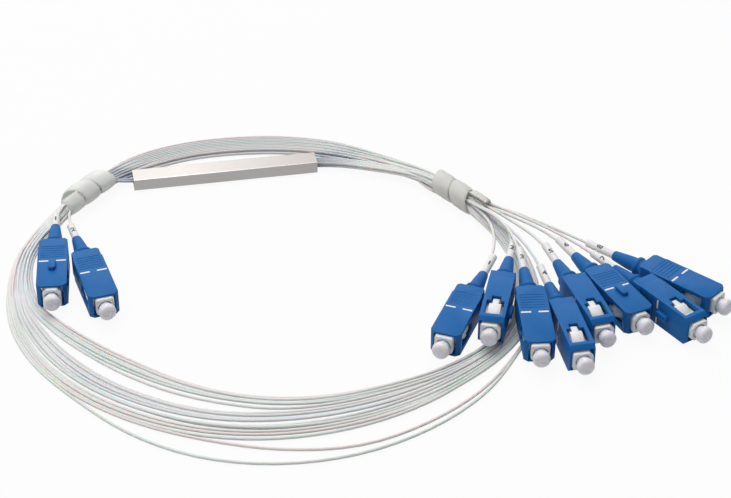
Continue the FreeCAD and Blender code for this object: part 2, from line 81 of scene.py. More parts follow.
# How far the boot's tip lies behind the grip's front face, the sleeve's radius, and the side of a
# sleeve that its number is read from.
BOOT_TIP = 36.4
SLEEVE_RADIUS = 1.2
READING_SIDE = Vector((0, -0.45, 1.0))

COIL_MIDDLE = Vector((4.0, -60.0))
FIBRE_RADIUS = 0.45
# How tied strands lie: the height of the lowest row, and the steps between rows and beside them.
BUNDLE_LOW = 0.5
STRAND_RISE = 0.8
STRAND_PITCH = 0.93
# Strands with less room than this beside each other lie on two levels.
SINGLE_LAYER_PITCH = 0.86

# The coil's clock runs clockwise from its back, in degrees. Each row of a lane table gives the
# clock angle, then the radius of the lane group's inner and outer strand there.
INNER_GROUP = [(87, 74.6, 76.4), (100, 76.9, 78.8), (114, 77.4, 79.3), (128, 75.2, 77.5),
               (140, 70.8, 73.6), (155, 64.8, 68.2), (170, 61.9, 65.6), (185, 59.4, 63.8),
               (200, 57.3, 61.4), (215, 55.7, 60.4), (230, 55.3, 60.6), (244, 58.0, 62.6),
               (256, 62.0, 66.4), (267, 67.6, 70.6), (280, 70.6, 72.6), (292, 71.0, 73.0)]
MAIN_GROUP = [(87, 76.6, 81.0), (100, 79.0, 83.4), (114, 79.6, 84.2), (128, 77.6, 81.9),
              (140, 73.9, 79.4), (155, 69.2, 78.2), (170, 66.9, 77.4), (185, 66.0, 77.2),
              (200, 66.3, 76.9), (215, 66.0, 76.2), (230, 66.4, 76.2), (244, 67.4, 76.3),
              (256, 68.9, 76.4), (267, 71.2, 76.6), (280, 72.8, 77.4), (292, 73.2, 77.6)]
ROSE_STRAY = [(87, 81.2), (100, 83.7), (114, 84.6), (128, 83.6), (140, 84.6), (155, 85.0),
              (170, 85.6), (182, 83.0), (192, 79.6), (203, 77.8), (215, 77.2), (230, 77.0),
              (244, 77.0), (256, 77.0), (267, 77.2), (280, 77.8), (292, 77.9)]
MINT_STRAY = [(87, 81.6), (100, 84.0), (114, 84.9), (128, 83.9), (135, 85.6), (149, 86.9),
              (160, 88.0), (176, 89.0), (190, 87.6), (202, 85.9), (215, 82.2), (230, 78.0),
              (244, 77.7), (256, 77.7), (267, 77.9), (280, 78.2), (292, 78.2)]
# Between these clock angles the strands lie loose, and they draw together over the degrees beyond.
LOOSE_FROM, LOOSE_TO, TYING_DEGREES = 114, 262, 30
# The tied stretches: the middle of the bundle, and at the back how high its lowest strands lie.
TIED_RING = [(87, 77.8), (114, 80.9), (262, 72.6), (292, 74.6)]
TIED_BACK = [(301, 74.4, 0.7), (334, 76.1, 0.8), (347, 76.9, 0.5), (360, 75.8, 0.5), (375, 75.3, 0.5),
             (388, 75.1, 0.5), (402, 73.7, 0.9)]

# The spiral wraps: the height of their axes, how far the strips reach past them, and the ends of the
# axes, the first towards the tube.
WRAP_HEIGHT = 4.35
WRAP_OVERHANG = 2.6
RIGHT_WRAP = (Vector((64.5, -19.0)), Vector((76.0, -40.5)))
LEFT_WRAP = (Vector((-38.6, 0.3)), Vector((-52.8, -15.0)))
# Where the strands are held in a wrap, as a share of its axis: at its neck, towards the tube, and at
# its mouth, towards the loop.
NECK_AT, RIGHT_MOUTH_AT, LEFT_MOUTH_AT, INPUT_AT = 0.1, 0.85, 0.9, 0.05

# Order of the strands from the inside out, in the two groups of the loop and at the back. A letter is
# a pass: a, b and c are the first, second and last of an output, p and q those of an input.
INNER_ORDER = ["b1", "a1", "q1", "b2", "a2", "p1"]
MAIN_ORDER = ["a3", "b3", "a4", "q2", "b4", "a5", "b5", "a6", "p2", "b6", "a7", "b8"]
BACK_ORDER = ["p1", "q1", "b5", "p2", "q2", "c5", "b3", "c3", "b2", "b6", "c8", "c6", "b8", "c2",
              "b4", "c4", "b1", "c1", "b7", "c7"]
STRAYS = {"b7": ROSE_STRAY, "a8": MINT_STRAY}
RING_STOPS = [87, 100, 114, 128, 141, 155, 170, 185, 200, 215, 230, 244, 256, 267, 280, 292]
BACK_STOPS = [336, 348, 360, 373, 386, 400]


def between(table, angle):
    """The table's values at a clock angle."""
    for low, high in zip(table, table[1:]):
        if low[0] <= angle <= high[0]:
            share = (angle - low[0]) / (high[0] - low[0])
            return [a + (b - a) * share for a, b in zip(low[1:], high[1:])]
    return list((table[0] if angle < table[0][0] else table[-1])[1:])


def on_clock(angle, radius, height):
    """A point of the coil from its clock angle, radius and height."""
    turn = math.radians(angle)
    return Vector((COIL_MIDDLE.x + radius * math.sin(turn),
                   COIL_MIDDLE.y + radius * math.cos(turn), height))


def bundle_places(names, counts, low=BUNDLE_LOW, pitch=STRAND_PITCH):
    """Gives every strand of a bundle its place across and up, in rows from the bottom up.

    The names come in order from the inside out, and counts holds the number in each row.
    """
    places = [((column - (count - 1) / 2) * pitch, low + row * STRAND_RISE)
              for row, count in enumerate(counts) for column in range(count)]
    return dict(zip(names, sorted(places)))


def ring_point(name, angle):
    """Where a strand lies on the open stretch of the coil, between the two wraps."""
    if name in STRAYS:
        radius = between(STRAYS[name], angle)[0]
        lane, crowding = 0, 0.0
    else:
        inside = name in INNER_ORDER
        order, table = (INNER_ORDER, INNER_GROUP) if inside else (MAIN_ORDER, MAIN_GROUP)
        inner, outer = between(table, angle)
        lane = order.index(name)
        pitch = (outer - inner) / (len(order) - 1)
        crowding = min(max((SINGLE_LAYER_PITCH - pitch) / 0.3, 0.0), 1.0)
        sway = 0.3 * math.sin(math.radians(angle * 2.3 + lane * 67))
        clump = 0.4 * pitch * math.sin(2 * math.pi * lane / 3.4 + math.radians(angle * 1.3))
        radius = inner + pitch * lane + (sway + clump) * (1 - 0.6 * crowding)
    ripple = 0.5 + 0.5 * math.sin(math.radians(angle * 3.1 + lane * 131))
    height = FIBRE_RADIUS + STRAND_RISE * crowding * (lane % 2) + 0.55 * ripple * (lane % 3 == 1)
    tied = max((LOOSE_FROM - angle) / TYING_DEGREES, (angle - LOOSE_TO) / TYING_DEGREES, 0.0)
    if tied > 0:
        across, up = RING_BUNDLE[name]
        middle = between(TIED_RING, angle)[0]
        tied = min(tied, 1.0)
        radius += (middle + across - radius) * tied
        height += (up - height) * tied
    return on_clock(angle, radius, height)


def back_point(name, angle):
    """Where a strand lies at the back, where the bundle opens out behind the tube."""
    middle, low = between(TIED_BACK, angle)
    swell = math.sin(math.radians(min(max((angle - 308) * 1.9, 0.0), 180.0)))
    loose = min(1.0, 1.5 * swell)
    across, up = (near + (wide - near) * loose
                  for near, wide in zip(BACK_BUNDLE[name], BACK_LOOSE[name]))
    return on_clock(angle, middle + 2.0 * loose + across, low - BUNDLE_LOW + up)


def wrap_point(wrap, share, across, up):
    """A point inside a spiral wrap: a share of its length, then across from its axis, and its height."""
    start, end = wrap
    along = (end - start).normalized()
    outward = Vector((-along.y, along.x))
    if outward.dot(start - COIL_MIDDLE) < 0:
        outward = -outward
    spot = start.lerp(end, share) + outward * across
    return Vector((spot.x, spot.y, up))


RING_NAMES = [*INNER_ORDER, *MAIN_ORDER, *STRAYS]
FIRST_PASSES = [f"a{number}" for number in range(1, 9)]
RING_BUNDLE = bundle_places(RING_NAMES, [5, 6, 5, 4])
BACK_BUNDLE = bundle_places(BACK_ORDER, [5, 6, 5, 4])
BACK_LOOSE = bundle_places(BACK_ORDER, [11, 9], pitch=1.0)
# The same in the necks and mouths of the wraps.
RIGHT_MOUTH = bundle_places(RING_NAMES, [4, 5, 6, 5], 1.7)
LEFT_MOUTH = bundle_places(RING_NAMES, [5, 6, 6, 3], 2.0)
RIGHT_NECK = bundle_places(FIRST_PASSES + BACK_ORDER, [4, 5, 6, 6, 4, 3], 2.2)
LEFT_NECK = bundle_places(BACK_ORDER, [5, 6, 5, 4], 2.4)


def output_route(number):
    """The line of one output fibre from the tube to its boot, in mm."""
    column, row = (number - 1) % 4, (number - 1) // 4
    side, lift = (column - 1.5) * 1.0, row * 0.95
    first, second, third = f"a{number}", f"b{number}", f"c{number}"
    leads = [(30.0, side, 1.5 + lift), (35.5, side - 1.0, 1.55 + lift), (41.0, side - 3.2, 1.7 + lift),
             (51.0, side * 0.95 - 8.8, 2.2 + lift), (58.5, side * 0.9 - 14.0, 2.8 + lift)]
    route = [Vector(point) for point in leads]
    for now, following in ((first, second), (second, third)):
        route.append(wrap_point(RIGHT_WRAP, NECK_AT, *RIGHT_NECK[now]))
        route.append(wrap_point(RIGHT_WRAP, RIGHT_MOUTH_AT, *RIGHT_MOUTH[now]))
        route += [ring_point(now, angle) for angle in RING_STOPS]
        route.append(wrap_point(LEFT_WRAP, LEFT_MOUTH_AT, *LEFT_MOUTH[now]))
        route.append(wrap_point(LEFT_WRAP, NECK_AT, *LEFT_NECK[following]))
        route += [back_point(following, angle) for angle in BACK_STOPS]
    route.append(wrap_point(RIGHT_WRAP, NECK_AT, *RIGHT_NECK[third]))
    return route + pigtail_route(f"out_{number}")


def input_route(number):
    """The line of one input fibre from the tube to its boot, in mm."""
    side = (number - 1.5) * 1.1
    leads = [(-30.0, side, 2.0), (-34.5, side * 0.9, 2.4)]
    route = [Vector(point) for point in leads]
    route.append(wrap_point(LEFT_WRAP, INPUT_AT, -1.6 + side, 4.2))
    for name in (f"p{number}", f"q{number}"):
        route.append(wrap_point(LEFT_WRAP, LEFT_MOUTH_AT, *LEFT_MOUTH[name]))
        route += [ring_point(name, angle) for angle in reversed(RING_STOPS)]
        route.append(wrap_point(RIGHT_WRAP, RIGHT_MOUTH_AT, *RIGHT_MOUTH[name]))
        route.append(wrap_point(RIGHT_WRAP, NECK_AT, *RIGHT_NECK[name]))
        route += [back_point(name, angle) for angle in reversed(BACK_STOPS)]
        if name[0] == "p":
            route.append(wrap_point(LEFT_WRAP, NECK_AT, *LEFT_NECK[name]))
    return route + pigtail_route(f"in_{number}")


def seat(name):
    """A connector's own frame in mm: +X along the ferrule, +Z on the key side."""
    x, y, z, heading, dip, roll = CONNECTORS[name]
    turn = [Matrix.Rotation(math.radians(angle), 4, axis)
            for angle, axis in ((heading, "Z"), (dip, "Y"), (roll, "X"))]
    return Matrix.Translation((x, y, z)) @ turn[0] @ turn[1] @ turn[2]


def pigtail_route(name):
    """The free stretch of one pigtail, into the boot's tip."""
    points, last_run, _ = PIGTAILS[name]
    place = seat(name)
    ends = [place @ Vector((-BOOT_TIP - last_run, 0, 0)), place @ Vector((-BOOT_TIP, 0, 0))]
    return [Vector(point) for point in points] + ends


# ------------------------------------------------------------------ node groups and finishes

def add(tree, kind, **values):
    """Adds a node and sets its plain properties."""
    item = tree.nodes.new(kind)
    for key, value in values.items():
        setattr(item, key, value)
    return item


def feed(tree, *pairs):
    """Gives each input its value: a link from a socket, or else a constant."""
    for value, target in pairs:
        if isinstance(value, bpy.types.NodeSocket):
            tree.links.new(value, target)
        else:
            target.default_value = value


def noise_on(tree, vector, scale, detail=2.0):
    """A noise texture, with a scale in spots to the vector's unit."""
    item = add(tree, "ShaderNodeTexNoise")
    feed(tree, (vector, item.inputs["Vector"]), (scale, item.inputs["Scale"]),
         (detail, item.inputs["Detail"]))
    return item.outputs["Fac"]


def ramp(tree, value, low, high, start=0.0, end=1.0):
    """Maps a value from start to end on low to high, and holds it outside them."""
    item = add(tree, "ShaderNodeMapRange")
    feed(tree, (value, item.inputs["Value"]), (start, item.inputs["From Min"]),
         (end, item.inputs["From Max"]), (low, item.inputs["To Min"]), (high, item.inputs["To Max"]))
    return item.outputs["Result"]


def maths(tree, operation, first, second=0.0):
    """Works out one operation on two values."""
    item = add(tree, "ShaderNodeMath", operation=operation)
    feed(tree, (first, item.inputs[0]), (second, item.inputs[1]))
    return item.outputs[0]


def axes_of(tree, vector):
    """A vector's X, Y and Z."""
    item = add(tree, "ShaderNodeSeparateXYZ")
    feed(tree, (vector, item.inputs[0]))
    return item.outputs


def blend_colours(tree, share, first, second, mode="MIX"):
    """Mixes two colours by a share."""
    item = add(tree, "ShaderNodeMix", data_type="RGBA", blend_type=mode)
    feed(tree, (share, item.inputs[0]), (first, item.inputs[6]), (second, item.inputs[7]))
    return item.outputs[2]


def new_group(name, inputs):
    """A group that gives a colour, a roughness and a height: its tree, its ends and the place in mm."""
    tree = bpy.data.node_groups.new(name, "ShaderNodeTree")
    for label, value in inputs.items():
        kind = "NodeSocketColor" if isinstance(value, tuple) else "NodeSocketFloat"
        tree.interface.new_socket(name=label, in_out="INPUT", socket_type=kind).default_value = value
    for label, kind in (("Colour", "Color"), ("Roughness", "Float"), ("Height", "Float")):
        tree.interface.new_socket(name=label, in_out="OUTPUT", socket_type=f"NodeSocket{kind}")
    place = add(tree, "ShaderNodeTexCoord").outputs["Object"]
    scaled = add(tree, "ShaderNodeVectorMath", operation="SCALE")
    feed(tree, (place, scaled.inputs[0]), (1 / MM, scaled.inputs["Scale"]))
    given, out = add(tree, "NodeGroupInput").outputs, add(tree, "NodeGroupOutput").inputs
    return tree, given, out, scaled.outputs["Vector"]


def moulded_grain_group():
    """Moulded plastic: a faint mottle in the colour, uneven gloss and a fine spark-eroded grain."""
    tree, given, out, spot = new_group("moulded_grain", {
        "Colour": (0.5, 0.5, 0.5, 1), "Mottle": 0.08, "Grain per mm": 6.0, "Gloss low": 0.35,
        "Gloss high": 0.5})
    broad = noise_on(tree, spot, 0.35)
    fine = noise_on(tree, spot, given["Grain per mm"], 3.0)
    flow = noise_on(tree, spot, 1.4, 4.0)
    dark = blend_colours(tree, given["Mottle"], given["Colour"], (0.0, 0.0, 0.0, 1))
    pale = blend_colours(tree, given["Mottle"], given["Colour"], (1.0, 1.0, 1.0, 1))
    feed(tree, (blend_colours(tree, broad, dark, pale), out["Colour"]),
         (ramp(tree, flow, given["Gloss low"], given["Gloss high"]), out["Roughness"]),
         (fine, out["Height"]))
    return tree


def fibre_skin_group():
    """The skin of a loose tube: the tint comes and goes along it, with dull scuffs.

    It has painted shade that darkens it towards the back, where the tubes lie packed, and it is bluish
    near the steel tube's ends.
    """
    tree, given, out, spot = new_group("fibre_skin", {
        "Skin": (0.8, 0.8, 0.8, 1), "Tint": (0.7, 0.8, 0.75, 1), "Tint share": 0.6,
        "Lead": (0.30, 0.34, 0.45, 1)})
    along = ramp(tree, noise_on(tree, spot, 0.05, 1.0), 0.15, 1.0)
    fine = noise_on(tree, spot, 3.0, 3.0)
    skin = blend_colours(tree, maths(tree, "MULTIPLY", along, given["Tint share"]), given["Skin"],
                         given["Tint"])
    place = axes_of(tree, spot)
    # Painted shade: the skin is multiplied darker towards the back bundle, standing in for the shade of
    # the stacked tubes.
    painted_back_shade = blend_colours(tree, ramp(tree, place["Y"], 0.0, 0.45, -8.0, 10.0), skin,
                           (0.60, 0.60, 0.63, 1), "MULTIPLY")
    in_line = maths(tree, "MULTIPLY", ramp(tree, place["Y"], 1.0, 0.0, 4.0, 8.0),
                    ramp(tree, place["Y"], 0.0, 1.0, -14.0, -9.0))
    near_end = ramp(tree, maths(tree, "ABSOLUTE", place["X"]), 0.7, 0.0, 31.0, 45.0)
    lead = maths(tree, "MULTIPLY", near_end, in_line)
    feed(tree, (blend_colours(tree, lead, painted_back_shade, given["Lead"]), out["Colour"]),
         (ramp(tree, fine, 0.22, 0.42), out["Roughness"]), (fine, out["Height"]))
    return tree


MOULDED_GRAIN = moulded_grain_group()
FIBRE_SKIN = fibre_skin_group()


def new_material(name):
    """A material, its node tree and its shader."""
    material = bpy.data.materials.new(name)
    material.use_nodes = True
    return material, material.node_tree, material.node_tree.nodes["Principled BSDF"]


def add_relief(tree, shader, height, strength, distance):
    """Bumps a shader's surface by a height, with the distance in mm."""
    relief = add(tree, "ShaderNodeBump")
    feed(tree, (strength, relief.inputs["Strength"]), (distance * MM, relief.inputs["Distance"]),
         (height, relief.inputs["Height"]), (relief.outputs["Normal"], shader.inputs["Normal"]))


def finish(name, group, inputs, bump=0.0, **constants):
    """A material whose colour, gloss and bump come from a group, with constants on the shader."""
    material, tree, shader = new_material(name)
    effect = add(tree, "ShaderNodeGroup", node_tree=group)
    for key, value in inputs.items():
        effect.inputs[key].default_value = value
    feed(tree, (effect.outputs["Colour"], shader.inputs["Base Color"]),
         (effect.outputs["Roughness"], shader.inputs["Roughness"]))
    if bump:
        add_relief(tree, shader, effect.outputs["Height"], 0.6, bump)
    for key, value in constants.items():
        shader.inputs[key.replace("_", " ")].default_value = value
    return material


def plastic(name, colour, mottle=0.05, grain=6.0, low=0.35, high=0.5, bump=0.004, **constants):
    """A moulded plastic."""
    return finish(name, MOULDED_GRAIN, {"Colour": (*colour, 1), "Mottle": mottle, "Grain per mm": grain,
                                        "Gloss low": low, "Gloss high": high}, bump, **constants)


def wrap_plastic(name, colour):
    """A wrap's soft translucent plastic."""
    return plastic(name, colour, mottle=0.04, grain=2.0, low=0.35, high=0.5, Transmission_Weight=0.4,
                   IOR=1.3, Subsurface_Weight=0.25, Subsurface_Scale=0.002)


def rolled_steel():
    """Bright sheet steel: long rolling streaks, rubbed spots, and painted shade that darkens the top
    towards the outputs.
    """
    material, tree, shader = new_material("rolled_steel")
    texture = add(tree, "ShaderNodeTexCoord")
    place = texture.outputs["Object"]
    drawn = add(tree, "ShaderNodeMapping")
    feed(tree, (place, drawn.inputs["Vector"]), ((60, 2600, 2600), drawn.inputs["Scale"]))
    streak = noise_on(tree, drawn.outputs["Vector"], 1.0, 5.0)
    rubbed = noise_on(tree, place, 260.0, 3.0)
    patch = noise_on(tree, place, 45.0, 1.0)
    bright = blend_colours(tree, streak, (0.37, 0.37, 0.372, 1), (0.46, 0.455, 0.45, 1))
    warm = blend_colours(tree, ramp(tree, rubbed, 0.0, 0.35), bright, (0.42, 0.39, 0.37, 1))
    worn = blend_colours(tree, ramp(tree, patch, 0.0, 0.4), warm, (0.27, 0.25, 0.245, 1))
    # Painted shade: faces looking up are darkened towards the outputs' end of the tube.
    on_top = ramp(tree, axes_of(tree, texture.outputs["Normal"])["Z"], 0.0, 1.0, 0.3, 0.8)
    by_outputs = ramp(tree, axes_of(tree, place)["X"], 0.0, 0.85, -15 * MM, 32 * MM)
    painted_top_shade = maths(tree, "MULTIPLY", by_outputs, on_top)
    feed(tree, (blend_colours(tree, painted_top_shade, worn, (0.25, 0.232, 0.228, 1)), shader.inputs["Base Color"]),
         (ramp(tree, streak, 0.24, 0.4), shader.inputs["Roughness"]), (1.0, shader.inputs["Metallic"]))
    add_relief(tree, shader, streak, 0.35, 0.01)
    return material


STEEL = rolled_steel()
GRIP_BLUE = plastic("grip_blue", (0.003, 0.114, 0.36), mottle=0.012, grain=7.0, low=0.42, high=0.52,
                    Specular_IOR_Level=0.12)
BOOT_BLUE = plastic("boot_blue", (0.003, 0.110, 0.35), mottle=0.015, grain=4.0, low=0.45, high=0.6,
                    Specular_IOR_Level=0.12)
FRAME_WHITE = plastic("frame_white", (0.76, 0.76, 0.75), mottle=0.03, low=0.3, high=0.42)
MARK_WHITE = plastic("mark_white", (0.78, 0.78, 0.80), mottle=0.1, low=0.5, high=0.7)
INK_BLACK = plastic("ink_black", (0.015, 0.015, 0.016), mottle=0.1, low=0.5, high=0.7)
SLEEVE_WHITE = plastic("sleeve_white", (0.74, 0.74, 0.735), mottle=0.05, low=0.42, high=0.6)
SEAL_BLACK = plastic("seal_black", (0.03, 0.03, 0.035), mottle=0.05, low=0.5, high=0.7)
CERAMIC = plastic("ceramic", (0.80, 0.80, 0.77), mottle=0.02, low=0.12, high=0.2, bump=0.0)
CHIP_GLASS = plastic("chip_glass", (0.78, 0.84, 0.84), mottle=0.02, low=0.05, high=0.12, bump=0.0,
                     Transmission_Weight=0.7, IOR=1.46)
CAP_CLEAR = plastic("cap_clear", (0.87, 0.87, 0.92), mottle=0.01, grain=3.0, low=0.26, high=0.36,
                    bump=0.0, Transmission_Weight=0.2, IOR=1.4, Subsurface_Weight=0.35,
                    Subsurface_Scale=0.002)
WRAP_CLEAR = wrap_plastic("wrap_clear", (0.91, 0.915, 0.895))
WRAP_BEIGE = wrap_plastic("wrap_beige", (0.79, 0.778, 0.752))
TINTS = {
    "in_1": (0.80, 0.81, 0.81), "in_2": (0.81, 0.78, 0.77),
    "out_1": (0.81, 0.76, 0.75), "out_2": (0.67, 0.78, 0.73), "out_3": (0.80, 0.80, 0.80),
    "out_4": (0.68, 0.75, 0.84), "out_5": (0.80, 0.81, 0.79), "out_6": (0.67, 0.79, 0.73),
    "out_7": (0.86, 0.70, 0.68), "out_8": (0.65, 0.78, 0.71),
}
PLAIN_SKIN = (0.77, 0.77, 0.765, 1)
FIBRE_SKINS = {
    name: finish(f"fibre_{name}", FIBRE_SKIN, {"Skin": PLAIN_SKIN, "Tint": (*tint, 1), "Tint share": 0.75},
                 0.002, Transmission_Weight=0.1, IOR=1.38, Subsurface_Weight=0.2,
                 Subsurface_Scale=0.0004)
    for name, tint in TINTS.items()
}


# ------------------------------------------------------------------ making pieces

ROUND_SIDES = 40
# The wraps: the share of each turn's advance that the strip covers, the steps in a turn, and the part
# of a turn over which a cut end stands off.
STRIP_SHARE = 0.96
STEPS_A_TURN = 60
CUT_END = 0.22
# The grip, in a connector's own frame: its half height, and the grooves and printed marks along it.
GRIP_HALF_HEIGHT = 3.7
GROOVE_ROWS, GROOVE_FRONT, GROOVE_PITCH, GROOVE_WIDTH, GROOVE_FLOOR = 6, -14.4, 1.15, 0.36, 3.6
MARK_FRONT, MARK_BACK, MARK_INNER, MARK_OUTER = -12.4, -13.0, 1.05, 4.05
# The port numbers: their height, how much their strokes are fattened and how proud the ink is.
LETTER_SIZE, LETTER_WEIGHT, INK_PROUD = 2.7, 0.1, 0.035
# The turned pieces of a connector, each as x and radius.
CAP_DOME = [(4.05 + 1.15 * math.sin(math.radians(turn)), 1.4 + 1.15 * math.cos(math.radians(turn)))
            for turn in range(0, 91, 15)]
CAP_OUTLINE = [(2.6, 0.0), (2.6, 1.3), (-4.9, 1.3), (-4.9, 1.95), (2.75, 1.95), (2.9, 2.55), *CAP_DOME,
               (5.2, 0.75), (5.1, 0.62), (5.1, 0.0)]
BOOT_OUTLINE = [(-21.0, 0.0), (-21.0, 2.7), (-26.4, 2.7), (-26.7, 3.05), (-27.7, 3.05), (-28.2, 2.35),
                (-31.0, 2.15), (-BOOT_TIP, 1.5), (-BOOT_TIP, 0.5)]
FERRULE_OUTLINE = [(1.9, 0.0), (1.9, 1.0), (1.65, 1.25), (-7.6, 1.25), (-7.6, 2.1), (-9.8, 2.1),
                   (-9.8, 0.0)]


def in_scene(name, data):
    """A new object with the data, linked to the scene."""
    piece = bpy.data.objects.new(name, data)
    bpy.context.scene.collection.objects.link(piece)
    return piece


def as_mesh(work, name):
    """Turns finished mesh work into a mesh."""
    mesh = bpy.data.meshes.new(name)
    work.to_mesh(mesh)
    work.free()
    return mesh


def worked_out(piece):
    """The mesh that a piece's modifiers, line or text come to."""
    bpy.context.view_layer.update()
    graph = bpy.context.evaluated_depsgraph_get()
    return bpy.data.meshes.new_from_object(piece.evaluated_get(graph))


def shaped(name, verts, faces, material):
    """A piece from corners in mm, made clean and given its finish."""
    work = bmesh.new()
    corners = [work.verts.new(vert) for vert in verts]
    for face in faces:
        loop = [corners[index] for index in face]
        if len({tuple(round(c, 6) for c in corner.co) for corner in loop}) > 2:
            work.faces.new(loop)
    bmesh.ops.remove_doubles(work, verts=work.verts, dist=1e-4)
    bmesh.ops.recalc_face_normals(work, faces=work.faces)
    return dressed(name, as_mesh(work, name), material)


def dressed(name, mesh, material, smooth_below=40):
    """Puts a mesh in mm in the scene, in metres, with its finish and smooth shading."""
    mesh.transform(Matrix.Scale(MM, 4))
    mesh.shade_smooth()
    mesh.set_sharp_from_angle(angle=math.radians(smooth_below))
    mesh.materials.append(material)
    return in_scene(name, mesh)


def eased(outline, reach=0.12, steps=3):
    """The outline with its corners rounded."""
    points = [Vector(point) for point in outline]
    out = [points[0]]
    for before, corner, after in zip(points, points[1:], points[2:]):
        back, on = before - corner, after - corner
        cut = min(reach, 0.45 * back.length, 0.45 * on.length)
        enter, leave = corner + back.normalized() * cut, corner + on.normalized() * cut
        out += [enter.lerp(corner, k / steps).lerp(corner.lerp(leave, k / steps), k / steps)
                for k in range(steps + 1)]
    return out + [points[-1]]


def tube_faces(rings, sides):
    """The faces between rings of corners, each a loop of so many sides."""
    return [(row * sides + k, row * sides + (k + 1) % sides, (row + 1) * sides + (k + 1) % sides,
             (row + 1) * sides + k) for row in range(rings - 1) for k in range(sides)]


def turned(name, outline, material, reach=0.12):
    """A turned piece about X, from x and radius, in mm."""
    rings = eased(outline, reach)
    turn = 2 * math.pi / ROUND_SIDES
    verts = [(x, radius * math.cos(turn * k), radius * math.sin(turn * k))
             for x, radius in rings for k in range(ROUND_SIDES)]
    return shaped(name, verts, tube_faces(len(rings), ROUND_SIDES), material)


def seat_piece(piece, name):
    """Seats a piece made in a connector's own frame."""
    place = seat(name)
    place.translation *= MM
    piece.matrix_world = place


def make_fibre(name, route):
    """One whole fibre as a round tube on a smooth line."""
    curve = bpy.data.curves.new(f"fibre_line_{name}", "CURVE")
    curve.dimensions = "3D"
    curve.bevel_depth = 1.0
    curve.bevel_resolution = 2
    curve.resolution_u = 4
    curve.use_fill_caps = True
    line = curve.splines.new("NURBS")
    line.points.add(len(route) - 1)
    for point, spot in zip(line.points, route):
        point.co = (*(spot * MM), 1.0)
        point.radius = FIBRE_RADIUS * MM
    line.order_u = 3
    line.use_endpoint_u = True
    curve.materials.append(FIBRE_SKINS[name])
    piece = in_scene(f"pigtail_{name}", curve)
    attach(piece, "base")
    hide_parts(f"fibre_{name}", "fibre_coil")
    return piece


def spline_length(piece):
    """The measured length of a fibre's line, in metres."""
    depth, piece.data.bevel_depth = piece.data.bevel_depth, 0
    mesh = worked_out(piece)
    piece.data.bevel_depth = depth
    spots = [vert.co.copy() for vert in mesh.vertices]
    bpy.data.meshes.remove(mesh)
    return sum((b - a).length for a, b in zip(spots, spots[1:]))


def make_wrap(name, wrap, turns, lead, material):
    """A spiral wrap: a crowned translucent strip wound round the bundle, its cut ends standing off."""
    start, end = (Vector((*spot, WRAP_HEIGHT)) for spot in wrap)
    along = (end - start).normalized()
    start, end = start - along * WRAP_OVERHANG, end + along * WRAP_OVERHANG
    across, up = Vector((-along.y, along.x, 0)), Vector((0, 0, 1))
    advance = (end - start).length / (turns + STRIP_SHARE)
    width = advance * STRIP_SHARE
    crown = [(0.0, 3.4), (0.12, 3.62), (0.5, 3.84), (1.2, 3.98), (width / 2, 4.06)]
    section = crown + [(width - x, radius) for x, radius in reversed(crown[:-1])]
    section += [(width - 0.3, 3.28), (width / 2, 3.42), (0.3, 3.28)]
    steps = int(turns * STEPS_A_TURN)
    verts = []
    for step in range(steps + 1):
        turn = step * turns / steps
        angle = 2 * math.pi * turn + lead
        off = max(0.0, CUT_END - turn, turn - turns + CUT_END) / CUT_END
        pinch = 0.07 * math.sin(angle * 2.3) + 0.05 * math.sin(angle * 5.1)
        for x, radius in section:
            reach = radius + 0.2 * off * off + pinch
            spot = start + along * (turn * advance + x + 0.25 * math.sin(angle * 1.7))
            verts.append(spot + (across * math.cos(angle) + up * math.sin(angle) * 0.94) * reach)
    count = len(section)
    caps = [tuple(range(count)), tuple(range(steps * count, (steps + 1) * count))]
    piece = shaped(f"{name}_strip", verts, tube_faces(steps + 1, count) + caps, material)
    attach(piece, "base")
    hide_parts(name)


def extruded(outline, low, high, axis="Z"):
    """A prism along Z over an outline in XY, or along Y over an outline in XZ."""
    work = bmesh.new()
    rings = [[work.verts.new((x, y, level) if axis == "Z" else (x, level, y)) for x, y in outline]
             for level in (low, high)]
    for ring in rings:
        work.faces.new(ring)
    for k, corner in enumerate(rings[0]):
        after = (k + 1) % len(outline)
        work.faces.new((corner, rings[0][after], rings[1][after], rings[1][k]))
    bmesh.ops.recalc_face_normals(work, faces=work.faces)
    return as_mesh(work, "prism")


def box_mesh(low, high):
    """A box from two opposite corners, for cutting with."""
    return extruded([(low[0], low[1]), (high[0], low[1]), (high[0], high[1]), (low[0], high[1])],
                    low[2], high[2])


def along_x(mesh):
    """Lays a prism down so that it runs along X: its first outline axis points down."""
    mesh.transform(Matrix.Rotation(math.radians(90), 4, "Y"))
    return mesh


def rod(radius, low, high):
    """A round bar along X, for cutting with."""
    turn = 2 * math.pi / ROUND_SIDES
    return along_x(extruded([(radius * math.cos(turn * k), radius * math.sin(turn * k))
                             for k in range(ROUND_SIDES)], low, high))


def carved(body, bevel, cutters=()):
    """Cuts pieces out of a mesh in mm, eases its edges and returns the new mesh."""
    piece = in_scene("blank", body)
    tools = [in_scene("tool", mesh) for mesh in cutters]
    for tool in tools:
        cut = piece.modifiers.new("cut", "BOOLEAN")
        cut.operation, cut.solver, cut.object = "DIFFERENCE", "EXACT", tool
    ease = piece.modifiers.new("ease", "BEVEL")
    ease.width, ease.segments, ease.limit_method, ease.angle_limit = bevel, 2, "ANGLE", math.radians(30)
    ease.use_clamp_overlap = True
    made = worked_out(piece)
    for spare in [*tools, piece]:
        bpy.data.objects.remove(spare)
    return made


def joined(name, *parts):
    """One mesh from several."""
    work = bmesh.new()
    for part in parts:
        work.from_mesh(part)
    return as_mesh(work, name)


def mirrored_outline(half):
    """A closed outline from its upper half, mirrored over the X axis."""
    return half + [(x, -y) for x, y in reversed(half)]


